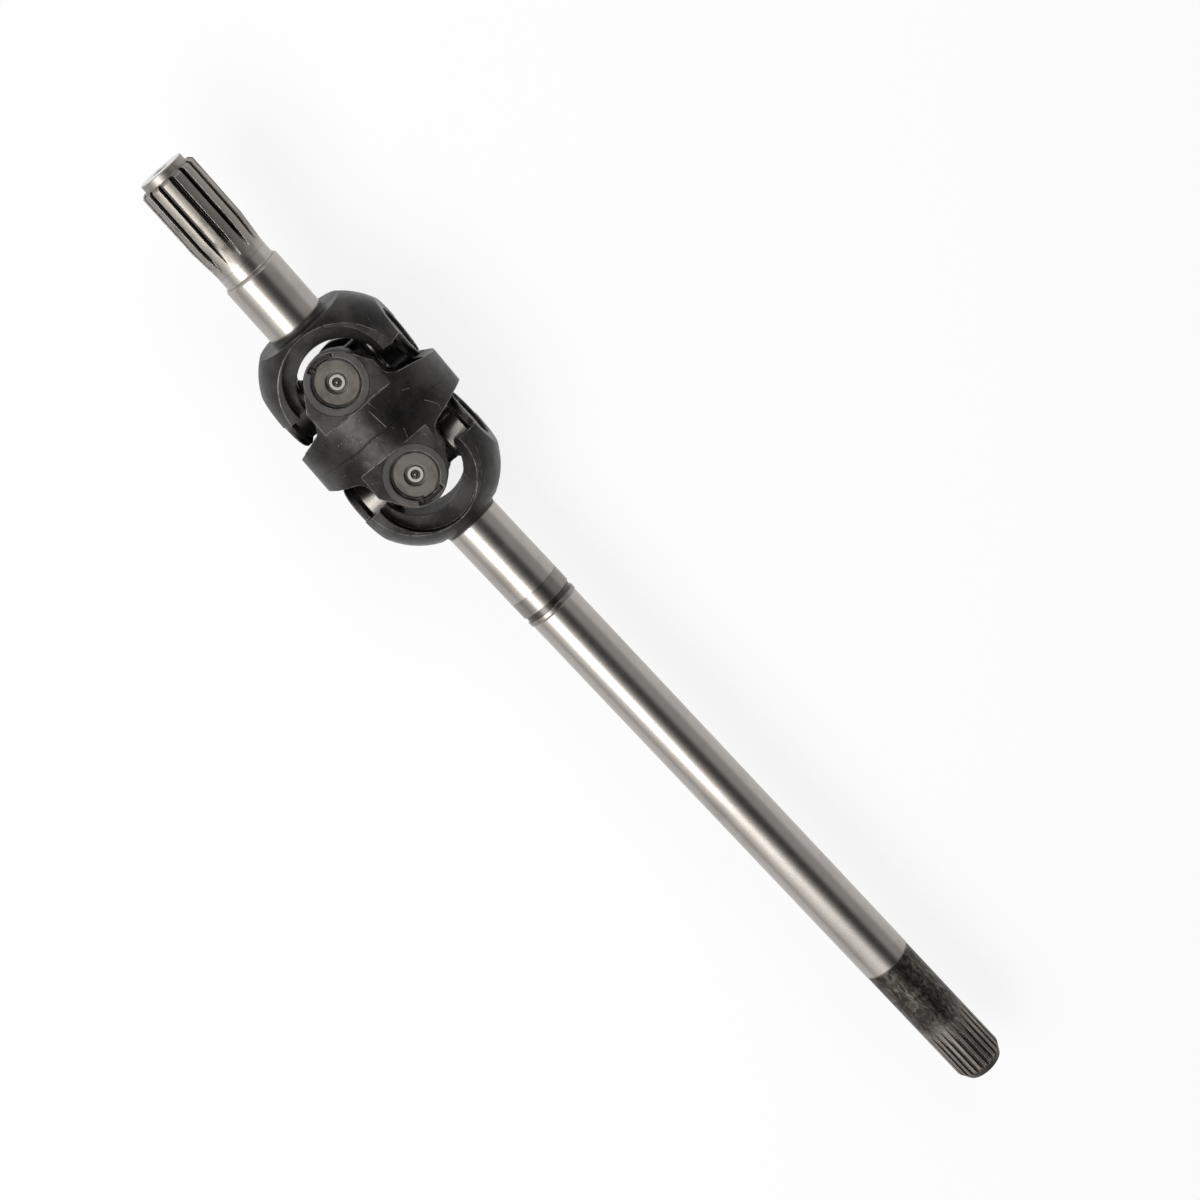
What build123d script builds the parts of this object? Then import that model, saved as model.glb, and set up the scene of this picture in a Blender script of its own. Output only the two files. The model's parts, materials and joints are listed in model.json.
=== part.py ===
"""Double cardan drive shaft of a steering axle, laid down with its joint slightly bent.

Frame: millimetres, +Z up, origin at the centre of the double joint (the steering centre),
+X along the centre yoke towards the long shaft. The centre yoke carries the two crosses on
upright journals, and each shaft's fork carries its cross on level journals.

Each piece is drawn in the frame of its own cross, with the origin at the cross's centre and
+X pointing away from the centre yoke, along the shaft. Pieces of the cross kit are drawn on
the journal that points along +Z. Then the pieces are set in place.
"""

import os
from math import acos, atan2, cos, degrees, pi, sin, sqrt

from build123d import *

os.makedirs("parts", exist_ok=True)

# ---------------------------------------------------------------- the joint as a whole
CROSS_SPACING = 71.0  # between the centres of the two crosses
LONG_YAW = 3.0  # degrees, of the long shaft about its cross's upright journals
SHORT_PITCH = 10.0  # degrees, of the short shaft about its cross's level journals

# ---------------------------------------------------------------- cross kit, 30 mm by 86 mm
CUP_R = 15.0
CUP_FACE = 43.0  # outer face of a cup, from the cross's centre
CUP_ROOF = 37.8  # inside of its closed end
CUP_MOUTH = 24.0
CUP_BORE_R = 11.6
CUP_LIP = 0.6
TRUNNION_R = 8.9
TRUNNION_END = 37.5
HUB_R = 12.6  # shoulder that a seal runs against
HUB_END = 19.0
HUB_BALL_R = 17.0
DRILLING_R = 1.6
NEEDLE_R = 1.3
NEEDLES_IN_CUP = 20
NEEDLE_START = 24.6
NEEDLE_LENGTH = 12.6
SEAL_CLEARANCE = 0.05
SEAL_R = 14.2
SEAL_LIP_R = 12.8
FILLER_R = 6.9  # counterbore of a greased cup
FILLER_DEPTH = 3.4
NIPPLE_SHANK_R = 2.4
NIPPLE_R = 5.25
NIPPLE_TOP = 40.5
NIPPLE_MOUTH_R = 2.95
NIPPLE_BOWL = 0.7
BALL_R = 1.8

# snap rings and their grooves
GROOVE_R = 15.8
GROOVE_WIDTH = 1.4
SNAP_R = 15.75
SNAP_INNER_R = 13.4
SNAP_THICKNESS = 1.3
SNAP_GAP = 40.0  # degrees left open between the ends
SNAP_LUG_R = 17.4
SNAP_LUG_WIDTH = 2.0
NOTCH_R = 18.0
NOTCH_ANGLE = 64.0  # degrees of an ear's rim that the snap ring's notch opens

# ---------------------------------------------------------------- forks of the two shafts
FORK_R = 50.5  # forged ball
FORK_FACET = 32.0  # half the thickness across the flat sides
FORK_START = 2.5  # squared end of the arms
EAR_FACE = 45.0
EAR_INNER = 26.4  # face of the boss on the inside of an ear
EAR_BOSS_R = 17.5
EAR_RIM_R = 20.0
EAR_RIM_START = 38.5
EAR_RIM_CHAMFER = 0.8
THROAT_R = 28.0
POCKET_R = 32.5
POCKET_SHIFT = 6.0
POCKET_FLOOR = 23.0

# ---------------------------------------------------------------- centre yoke
BAND_R = 52.5
BAND_WAIST = 12.0  # half width of the band beside the forks' ears
BAND_CREST = 12.5  # the same, at its widest reach to either side
BAND_ROOT = 20.0  # half width where the band meets the yoke's ears
BAND_BORE_R = 38.0
BAND_BORE_HALF = 10.0
PAD_FACE = 46.2
PAD_STEP = 16.0
PAD_HALF = 25.5
PAD_SHOULDER = 3.0  # from a pad's corner to its bore's axis, along the yoke
NOSE_R = 19.4
ROOT_FILLET = 9.0
ARM_INNER = 31.0  # underside of a yoke ear beyond its boss
ARM_ARCH = 15.0
ARM_FILLET = 6.0
SWING_R = 50.3  # room for the forks' ears to swing in
SPOT_DEPTH = 0.4

# ---------------------------------------------------------------- short shaft, along its axis
SHORT_WEB = 40.0
SHORT_BLEND = 3.0
SHORT_SEAT_R = 19.25
SHORT_SEAT_END = 81.5
SHORT_NECK_R = 17.4
SHORT_NECK_START = 84.0
SHORT_NECK_END = 93.0
SHORT_TEETH = 14
SHORT_TIP_R = 19.1
SHORT_ROOT_R = 15.4
SHORT_ROOT_SPACE = 1.9
SHORT_LAND = 5.1
SHORT_HOB_R = 58.0
SHORT_FULL_DEPTH = 112.0
SHORT_TEETH_END = 155.0
SHORT_TOOTH_CHAMFER = 1.8
SHORT_STUB_R = 15.0
SHORT_END = 160.0

# ---------------------------------------------------------------- long shaft, along its axis
LONG_WEB = 44.5
LONG_BLEND = 4.0
JOURNAL_R = 18.25
JOURNAL_END = 115.4
RING_GROOVE_R = 17.3
RING_GROOVE_END = 119.6
COLLAR_CHAMFER_START = 122.2
BAR_START = 123.3
BAR_R = 17.5
BAR_END = 445.0
LONG_TEETH = 24
LONG_TIP_R = 17.2
LONG_ROOT_R = 15.6
LONG_ROOT_SPACE = 1.2
LONG_LAND = 1.9
LONG_HOB_R = 60.0
LONG_FULL_DEPTH = 514.0
LONG_TAPER_START = 539.0
LONG_END_R = 13.6
LONG_END = 546.0

CENTRE_HOLE_R = 4.2
CENTRE_HOLE_MOUTH_R = 6.0
CENTRE_HOLE_DEPTH = 14.0
END_CHAMFER = 0.6

# ---------------------------------------------------------------- places
HALF_SPACING = CROSS_SPACING / 2
LONG_YOKE_SIDE = Location((HALF_SPACING, 0, 0))
SHORT_YOKE_SIDE = Location((-HALF_SPACING, 0, 0)) * Rotation(0, 0, 180)
LONG_FORK = Location((HALF_SPACING, 0, 0)) * Rotation(0, 0, LONG_YAW)
SHORT_FORK = Location((-HALF_SPACING, 0, 0)) * Rotation(0, SHORT_PITCH, 0) * Rotation(0, 0, 180)

# turns of a piece that is drawn on the +Z journal
UP = Rotation(0, 0, 0)
DOWN = Rotation(180, 0, 0)
LEFT = Rotation(-90, 0, 0) * Rotation(0, 0, 180)
RIGHT = Rotation(90, 0, 0) * Rotation(0, 0, 180)


def save(piece, name, place=Location()):
    """Puts a finished piece in its place, labels it and writes its STEP file."""
    placed = piece.moved(place)
    placed.label = name
    export_step(placed, f"parts/{name}.step")


def save_group(pieces, name):
    """Writes like pieces of one body as one node of separate solids."""
    group = Compound(children=pieces)
    group.label = name
    export_step(group, f"parts/{name}.step")


# ---------------------------------------------------------------- cross kit
def cross():
    """A forged cross: four ground trunnions on shouldered hubs, drilled for grease."""
    with BuildPart() as body:
        Sphere(HUB_BALL_R)
        for turn in ((0, 0, 0), (90, 0, 0)):
            Cylinder(HUB_R, 2 * HUB_END, rotation=turn)
            Cylinder(TRUNNION_R, 2 * TRUNNION_END, rotation=turn)
        ends = body.faces().filter_by(GeomType.PLANE).filter_by(lambda face: abs(face.center()) > HUB_END + 1)
        chamfer(ends.edges(), CUP_LIP)
        for turn in ((0, 0, 0), (90, 0, 0)):
            Cylinder(DRILLING_R, 2 * TRUNNION_END, rotation=turn, mode=Mode.SUBTRACT)
    return body.part


def bearing_cup(greased):
    """A cup with its closed end outwards, bored out for a flush nipple if it is greased."""
    with BuildPart() as cup:
        with BuildSketch(Plane.XZ):
            with BuildLine():
                Polyline(
                    (0, CUP_ROOF),
                    (CUP_BORE_R, CUP_ROOF),
                    (CUP_BORE_R, CUP_MOUTH),
                    (CUP_R - CUP_LIP, CUP_MOUTH),
                    (CUP_R, CUP_MOUTH + CUP_LIP),
                    (CUP_R, CUP_FACE - CUP_LIP),
                    (CUP_R - CUP_LIP, CUP_FACE),
                    (0, CUP_FACE),
                    close=True,
                )
            make_face()
        revolve(axis=Axis.Z)
        if greased:
            with Locations((0, 0, CUP_FACE)):
                CounterBoreHole(NIPPLE_SHANK_R, FILLER_R, FILLER_DEPTH)
    return cup.part


def grease_nipple():
    """A flush nipple screwed into a cup: a flanged head with a ball in its bowl."""
    seat = CUP_FACE - FILLER_DEPTH
    with BuildPart() as nipple:
        with BuildSketch(Plane.XZ):
            with BuildLine():
                Polyline(
                    (0, CUP_ROOF),
                    (NIPPLE_SHANK_R, CUP_ROOF),
                    (NIPPLE_SHANK_R, seat),
                    (NIPPLE_R, seat),
                    (NIPPLE_R, NIPPLE_TOP - END_CHAMFER / 2),
                    (NIPPLE_R - END_CHAMFER, NIPPLE_TOP),
                    (NIPPLE_MOUTH_R, NIPPLE_TOP),
                    (BALL_R, NIPPLE_TOP - NIPPLE_BOWL),
                    (0, NIPPLE_TOP - NIPPLE_BOWL),
                    close=True,
                )
            make_face()
        revolve(axis=Axis.Z)
        with Locations((0, 0, NIPPLE_TOP - NIPPLE_BOWL - BALL_R / 3)):
            Sphere(BALL_R)
    return nipple.part


def seal():
    """A lipped rubber ring between a hub's shoulder and the mouth of its cup."""
    inner_r = TRUNNION_R + SEAL_CLEARANCE
    foot = HUB_END + SEAL_CLEARANCE
    top = CUP_MOUTH - SEAL_CLEARANCE
    waist = (foot + top) / 2
    with BuildPart() as ring:
        with BuildSketch(Plane.XZ):
            with BuildLine():
                Polyline(
                    (inner_r, foot),
                    (SEAL_LIP_R, foot),
                    (SEAL_LIP_R, waist),
                    (SEAL_R, waist + SEAL_R - SEAL_LIP_R),
                    (SEAL_R, top),
                    (inner_r, top),
                    close=True,
                )
            make_face()
        revolve(axis=Axis.Z)
    return ring.part


def needle_set():
    """The full ring of loose needle rollers in one cup."""
    pitch_r = (CUP_BORE_R + TRUNNION_R) / 2
    with BuildPart() as needles:
        with BuildSketch(Plane.XY.offset(NEEDLE_START)):
            with PolarLocations(pitch_r, NEEDLES_IN_CUP):
                Circle(NEEDLE_R)
        extrude(amount=NEEDLE_LENGTH)
    return needles.part


def snap_ring():
    """An open ring in an ear's groove, whose ends turn out into the notch for a pick."""
    lug_angle = SNAP_GAP / 2 + degrees(SNAP_LUG_WIDTH / 2 / SNAP_R)
    with BuildPart() as ring:
        with BuildSketch(Plane.XY.offset(CUP_FACE)):
            Circle(SNAP_R)
            with PolarLocations((SNAP_INNER_R + SNAP_LUG_R) / 2, 2, -lug_angle, 4 * lug_angle):
                Rectangle(SNAP_LUG_R - SNAP_INNER_R, SNAP_LUG_WIDTH)
            Circle(SNAP_INNER_R, mode=Mode.SUBTRACT)
            with BuildLine():
                half = SNAP_GAP * pi / 360
                Polyline(
                    (0, 0),
                    (2 * SNAP_R * cos(half), 2 * SNAP_R * sin(half)),
                    (2 * SNAP_R * cos(half), -2 * SNAP_R * sin(half)),
                    close=True,
                )
            make_face(mode=Mode.SUBTRACT)
        extrude(amount=SNAP_THICKNESS)
    return ring.part


def ear_bore(face):
    """What is cut from an ear on +Z: the bore, the snap ring's groove and its notch."""
    with BuildPart() as cut:
        with BuildSketch(Plane.XY.offset(CUP_MOUTH - 1)):
            Circle(CUP_R)
        extrude(amount=face - CUP_MOUTH + 2)
        with BuildSketch(Plane.XY.offset(CUP_FACE)):
            Circle(GROOVE_R)
        extrude(amount=GROOVE_WIDTH)
        with BuildSketch(Plane.XY.offset(CUP_FACE)):
            Circle(NOTCH_R)
            with BuildLine():
                half = NOTCH_ANGLE * pi / 360
                Polyline(
                    (0, 0),
                    (2 * NOTCH_R * cos(half), 2 * NOTCH_R * sin(half)),
                    (2 * NOTCH_R * cos(half), -2 * NOTCH_R * sin(half)),
                    close=True,
                )
            make_face(mode=Mode.INTERSECT)
        extrude(amount=face + 1 - CUP_FACE)
    return cut.part


# ---------------------------------------------------------------- centre yoke
def centre_yoke():
    """A forged ring with an ear above and below at each end, joined across a stepped pad."""
    reach = HALF_SPACING + NOSE_R
    corner = (HALF_SPACING - PAD_SHOULDER, PAD_HALF)
    towards_corner = atan2(PAD_HALF, -PAD_SHOULDER)
    tangent = towards_corner - acos(NOSE_R / sqrt(PAD_SHOULDER**2 + PAD_HALF**2))
    nose = (HALF_SPACING + NOSE_R * cos(tangent), NOSE_R * sin(tangent))
    with BuildPart() as yoke:
        with BuildSketch(Plane.XY) as planform:
            with BuildLine() as quarter:
                Polyline((0, 0), (0, BAND_R), (BAND_CREST, BAND_R), (BAND_ROOT, PAD_HALF), corner, nose)
                ThreePointArc(nose, (HALF_SPACING + NOSE_R * cos(tangent / 2), NOSE_R * sin(tangent / 2)), (reach, 0))
                Line((reach, 0), (0, 0))
            make_face()
            fillet(planform.vertices().filter_by(lambda point: point.X == BAND_ROOT), ROOT_FILLET)
            mirror(about=Plane.XZ)
            mirror(about=Plane.YZ)
        extrude(amount=BAND_R, both=True)
        with BuildSketch(Plane.YZ):
            Circle(BAND_R)
        extrude(amount=reach, both=True, mode=Mode.INTERSECT)
        with BuildSketch(Plane.XY):
            with BuildLine():
                Polyline(
                    (0, 0),
                    (0, BAND_BORE_R),
                    (BAND_BORE_HALF, BAND_BORE_R),
                    (BAND_BORE_HALF + BAND_BORE_R - ARM_INNER, ARM_INNER),
                    (BAND_BORE_HALF + BAND_BORE_R - ARM_INNER, 0),
                    close=True,
                )
            make_face()
            mirror(about=Plane.YZ)
        revolve(axis=Axis.X, mode=Mode.SUBTRACT)
        with BuildSketch(Plane.XZ) as arch:
            with BuildLine():
                ThreePointArc((ARM_ARCH, ARM_INNER), (BAND_WAIST, 0), (ARM_ARCH, -ARM_INNER))
                Polyline((ARM_ARCH, -ARM_INNER), (reach + 1, -ARM_INNER), (reach + 1, ARM_INNER), (ARM_ARCH, ARM_INNER))
            make_face()
            fillet(arch.vertices().group_by(Axis.X)[0], ARM_FILLET)
            mirror(about=Plane.YZ)
        extrude(amount=BAND_R + 1, both=True, mode=Mode.SUBTRACT)
        with BuildSketch(Plane.XZ):
            with Locations((PAD_STEP, PAD_FACE)):
                Rectangle(reach, BAND_R, align=(Align.MIN, Align.MIN))
            mirror(about=Plane.YZ)
            mirror(about=Plane.XY)
        extrude(amount=BAND_R, both=True, mode=Mode.SUBTRACT)
        for side in (LONG_YOKE_SIDE, SHORT_YOKE_SIDE):
            add(swing_room().moved(side), mode=Mode.SUBTRACT)
            for turn in (UP, DOWN):
                add([ear_boss().moved(side * turn)])
                add([ear_bore(PAD_FACE).moved(side * turn)], mode=Mode.SUBTRACT)
    return yoke.part


def swing_room():
    """The space that a fork's ears swing through, between the arms of the centre yoke."""
    with BuildPart() as room:
        Sphere(SWING_R)
        Box(2 * SWING_R, 2 * SWING_R, 2 * ARM_INNER, mode=Mode.INTERSECT)
    return room.part


def ear_boss():
    """The boss round a yoke ear's bore, down to its inner face."""
    with BuildPart() as boss:
        with BuildSketch(Plane.XY.offset(EAR_INNER)):
            Circle(NOSE_R)
        extrude(amount=PAD_FACE - SPOT_DEPTH - EAR_INNER)
    return boss.part


# ---------------------------------------------------------------- shafts
def fork(web_end, shaft_r, blend_r):
    """A shaft's forged fork: a ball with flat sides, a stepped throat and two round ears."""
    start = (FORK_START, sqrt(FORK_R**2 - FORK_START**2))
    web = (web_end, sqrt(FORK_R**2 - web_end**2))
    blend_mid = blend_r * (1 - sqrt(0.5))
    with BuildPart() as body:
        with BuildSketch(Plane.XY):
            with BuildLine():
                RadiusArc(start, web, FORK_R)
                Line(web, (web_end, shaft_r + blend_r))
                ThreePointArc(
                    (web_end, shaft_r + blend_r),
                    (web_end + blend_mid, shaft_r + blend_mid),
                    (web_end + blend_r, shaft_r),
                )
                Polyline((web_end + blend_r, shaft_r), (web_end + blend_r, 0), (FORK_START, 0), start)
            make_face()
        revolve(axis=Axis.X)
        Box(3 * FORK_R, 2 * EAR_FACE, 2 * FORK_FACET, mode=Mode.INTERSECT)
        Cylinder(THROAT_R, 2 * FORK_R, mode=Mode.SUBTRACT)
        with Locations((POCKET_SHIFT, 0, POCKET_FLOOR), (POCKET_SHIFT, 0, -POCKET_FLOOR - FORK_R)):
            Cylinder(POCKET_R, FORK_R, align=(Align.CENTER, Align.CENTER, Align.MIN), mode=Mode.SUBTRACT)
        for turn in (LEFT, RIGHT):
            add([fork_ear().moved(turn)])
            add([ear_bore(EAR_FACE).moved(turn)], mode=Mode.SUBTRACT)
    return body.part


def fork_ear():
    """A fork's ear on +Z: a turned boss under a forged rim."""
    with BuildPart() as ear:
        with BuildSketch(Plane.XZ):
            with BuildLine():
                Polyline(
                    (0, EAR_INNER),
                    (EAR_BOSS_R, EAR_INNER),
                    (EAR_BOSS_R, EAR_RIM_START),
                    (EAR_RIM_R, EAR_RIM_START + EAR_RIM_R - EAR_BOSS_R),
                    (EAR_RIM_R, EAR_FACE - EAR_RIM_CHAMFER),
                    (EAR_RIM_R - EAR_RIM_CHAMFER, EAR_FACE),
                    (0, EAR_FACE),
                    close=True,
                )
            make_face()
        revolve(axis=Axis.Z)
    return ear.part


def spline_space(teeth, root_r, tip_r, root_space, land, full_depth, end, hob_r):
    """One tooth space of a spline on +Y, with the arc that the hob leaves towards the joint."""
    over_r = tip_r + 1
    mouth = 2 * pi * tip_r / teeth - land
    slope = (mouth - root_space) / (tip_r - root_r)
    over = root_space + slope * (over_r - root_r)
    run_out = sqrt(2 * hob_r * (over_r - root_r))
    lift = degrees(2 * (over_r - root_r) / run_out)
    with BuildPart() as space:
        with BuildSketch(Plane.YZ.offset(full_depth)) as section:
            with BuildLine():
                Polyline(
                    (root_r, -root_space / 2),
                    (root_r, root_space / 2),
                    (over_r, over / 2),
                    (over_r, -over / 2),
                    close=True,
                )
            make_face()
        extrude(section.sketch, amount=end - full_depth)
        hob_axis = Axis((full_depth, root_r + hob_r, 0), (0, 0, 1))
        revolve(section.sketch, axis=hob_axis, revolution_arc=-lift)
    return space.part


def cut_spline(space, teeth):
    """The spaces between all the teeth of a spline, as one set of tools."""
    return [space.rotate(Axis.X, 360 * tooth / teeth) for tooth in range(teeth)]


def centre_drill(end):
    """The lathe centre's hole in a shaft's end."""
    depth = CENTRE_HOLE_MOUTH_R - CENTRE_HOLE_R
    with BuildPart() as drill:
        with BuildSketch(Plane.XY):
            with BuildLine():
                Polyline(
                    (end, 0),
                    (end, CENTRE_HOLE_MOUTH_R),
                    (end - depth, CENTRE_HOLE_R),
                    (end - CENTRE_HOLE_DEPTH, CENTRE_HOLE_R),
                    (end - CENTRE_HOLE_DEPTH - CENTRE_HOLE_R / 2, 0),
                    close=True,
                )
            make_face()
        revolve(axis=Axis.X)
    return drill.part


def short_shaft_yoke():
    """The short shaft: fork, ground seat, neck, coarse spline and pilot stub in one forging."""
    space = spline_space(
        SHORT_TEETH,
        SHORT_ROOT_R,
        SHORT_TIP_R,
        SHORT_ROOT_SPACE,
        SHORT_LAND,
        SHORT_FULL_DEPTH,
        SHORT_END,
        SHORT_HOB_R,
    )
    with BuildPart() as shaft:
        add(fork(SHORT_WEB, SHORT_SEAT_R, SHORT_BLEND))
        with BuildSketch(Plane.XY):
            with BuildLine():
                Polyline(
                    (SHORT_WEB, 0),
                    (SHORT_WEB, SHORT_SEAT_R),
                    (SHORT_SEAT_END, SHORT_SEAT_R),
                    (SHORT_NECK_START, SHORT_NECK_R),
                    (SHORT_NECK_END, SHORT_NECK_R),
                    (SHORT_FULL_DEPTH, SHORT_TIP_R),
                    (SHORT_TEETH_END - SHORT_TOOTH_CHAMFER, SHORT_TIP_R),
                    (SHORT_TEETH_END, SHORT_TIP_R - SHORT_TOOTH_CHAMFER),
                    (SHORT_TEETH_END, SHORT_STUB_R),
                    (SHORT_END - END_CHAMFER, SHORT_STUB_R),
                    (SHORT_END, SHORT_STUB_R - END_CHAMFER),
                    (SHORT_END, 0),
                    close=True,
                )
            make_face()
        revolve(axis=Axis.X)
        add(cut_spline(space, SHORT_TEETH), mode=Mode.SUBTRACT)
        add([centre_drill(SHORT_END)], mode=Mode.SUBTRACT)
    return shaft.part


def long_shaft_yoke():
    """The long shaft: fork, bearing journal, ring groove, ground bar and fine spline."""
    space = spline_space(
        LONG_TEETH,
        LONG_ROOT_R,
        LONG_TIP_R,
        LONG_ROOT_SPACE,
        LONG_LAND,
        LONG_FULL_DEPTH,
        LONG_END + 1,
        LONG_HOB_R,
    )
    with BuildPart() as shaft:
        add(fork(LONG_WEB, JOURNAL_R, LONG_BLEND))
        with BuildSketch(Plane.XY):
            with BuildLine():
                Polyline(
                    (LONG_WEB, 0),
                    (LONG_WEB, JOURNAL_R),
                    (JOURNAL_END, JOURNAL_R),
                    (JOURNAL_END, RING_GROOVE_R),
                    (RING_GROOVE_END, RING_GROOVE_R),
                    (RING_GROOVE_END, JOURNAL_R),
                    (COLLAR_CHAMFER_START, JOURNAL_R),
                    (BAR_START, BAR_R),
                    (BAR_END, BAR_R),
                    (BAR_END, LONG_TIP_R),
                    (LONG_TAPER_START, LONG_TIP_R),
                    (LONG_END, LONG_END_R),
                    (LONG_END, 0),
                    close=True,
                )
            make_face()
        revolve(axis=Axis.X)
        add(cut_spline(space, LONG_TEETH), mode=Mode.SUBTRACT)
        add([centre_drill(LONG_END)], mode=Mode.SUBTRACT)
    return shaft.part


# ---------------------------------------------------------------- the pieces in their places
save(centre_yoke(), "centre_yoke")
save(short_shaft_yoke(), "short_shaft_yoke", SHORT_FORK)
save(long_shaft_yoke(), "long_shaft_yoke", LONG_FORK)
save(cross(), "short_cross", SHORT_YOKE_SIDE)
save(cross(), "long_cross", LONG_FORK)

plain_cup = bearing_cup(greased=False)
greased_cup = bearing_cup(greased=True)
ring = snap_ring()
needles = needle_set()
lip_seal = seal()
nipple = grease_nipple()

for end, yoke_side, cross_place, fork_place in (
    ("short", SHORT_YOKE_SIDE, SHORT_YOKE_SIDE, SHORT_FORK),
    ("long", LONG_YOKE_SIDE, LONG_FORK, LONG_FORK),
):
    save(greased_cup, f"{end}_end_upper_cup", yoke_side)
    save(plain_cup, f"{end}_end_lower_cup", yoke_side * DOWN)
    save(nipple, f"{end}_end_grease_nipple", yoke_side)
    save_group([plain_cup.moved(fork_place * turn) for turn in (LEFT, RIGHT)], f"{end}_fork_cups")
    save_group([ring.moved(yoke_side * turn) for turn in (UP, DOWN)], f"{end}_end_snap_rings")
    save_group([ring.moved(fork_place * turn) for turn in (LEFT, RIGHT)], f"{end}_fork_snap_rings")
    save_group([lip_seal.moved(cross_place * turn) for turn in (UP, DOWN)], f"{end}_end_seals")
    save_group([lip_seal.moved(cross_place * turn) for turn in (LEFT, RIGHT)], f"{end}_fork_seals")
    save_group([needles.moved(cross_place * turn) for turn in (UP, DOWN)], f"{end}_end_needles")
    save_group([needles.moved(cross_place * turn) for turn in (LEFT, RIGHT)], f"{end}_fork_needles")
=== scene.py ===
"""Looks of the double cardan drive shaft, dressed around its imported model.

Lengths are in metres, in the frame of the model: origin at the steering centre, +X along the
centre yoke towards the long shaft, +Z up along the yoke's journals.
"""

import json
import logging
import math
from dataclasses import dataclass, field
from enum import Enum

import bpy
from mathutils import Matrix, Vector


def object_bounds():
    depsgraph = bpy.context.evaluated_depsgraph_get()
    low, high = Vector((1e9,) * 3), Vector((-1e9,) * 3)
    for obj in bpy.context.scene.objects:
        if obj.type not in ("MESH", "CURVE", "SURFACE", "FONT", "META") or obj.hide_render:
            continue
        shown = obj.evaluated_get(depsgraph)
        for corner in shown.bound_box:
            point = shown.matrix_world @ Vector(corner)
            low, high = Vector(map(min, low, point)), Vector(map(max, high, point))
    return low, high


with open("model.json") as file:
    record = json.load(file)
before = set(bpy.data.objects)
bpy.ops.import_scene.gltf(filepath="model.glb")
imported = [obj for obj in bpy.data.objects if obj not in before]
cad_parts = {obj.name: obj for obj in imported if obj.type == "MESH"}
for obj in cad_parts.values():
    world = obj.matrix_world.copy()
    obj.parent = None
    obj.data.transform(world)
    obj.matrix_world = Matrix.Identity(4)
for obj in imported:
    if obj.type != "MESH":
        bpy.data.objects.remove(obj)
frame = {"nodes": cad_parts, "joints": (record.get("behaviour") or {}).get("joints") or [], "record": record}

CAD_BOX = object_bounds()
MM = 0.001
LENS_FRAME = 36.0  # millimetres, as lens and sensor are given
Socket = bpy.types.NodeSocket
Shader = bpy.types.Node
Value = Socket | float | tuple
log = logging.getLogger("drive_shaft")


def mm(*values: float) -> tuple:
    """Turns millimetres into metres."""
    return tuple(value * MM for value in values)


class Side(Enum):
    """The two ends of the double joint."""

    LONG = "long"
    SHORT = "short"


# ---------------------------------------------------------------- frame of the joint
def mount(name: str) -> dict:
    """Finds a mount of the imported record.

    Args:
        name: The mount's name.

    Returns:
        The mount, with its pos_m and axis.
    """
    return next(row for row in frame["record"]["mounts"] if row["name"] == name)


def joint(name: str) -> dict:
    """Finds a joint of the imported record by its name."""
    return next(row for row in frame["joints"] if row["name"] == name)


def axes_at(origin: Vector, along: Vector, up: Vector) -> Matrix:
    """Builds a local frame with X along one direction and Z as near as can be to another.

    Args:
        origin: The frame's origin.
        along: Direction of its X axis.
        up: Direction near its Z axis.

    Returns:
        The matrix that takes local points to the model's frame.
    """
    x = along.normalized()
    z = (up - up.dot(x) * x).normalized()
    y = z.cross(x)
    turned = Matrix((x, y, z)).transposed().to_4x4()
    return Matrix.Translation(origin) @ turned


def shaft_axes(side: Side) -> Matrix:
    """The frame of one shaft: origin at its cross, X towards its far end, Z up."""
    far = mount("long_spline" if side is Side.LONG else "short_spline")
    centre = Vector(joint(f"{side.value}_tilt")["pos_m"])
    return axes_at(centre, Vector(far["axis"]), Vector((0, 0, 1)))


def journal_axes(side: Side, level: bool) -> Matrix:
    """The frame of one pair of journals: X along the journals, origin at the cross."""
    row = joint(f"{side.value}_tilt" if level else f"{side.value}_swing")
    other = Vector((0, 0, 1)) if level else Vector((1, 0, 0))
    return axes_at(Vector(row["pos_m"]), Vector(row["axis"]), other)


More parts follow.
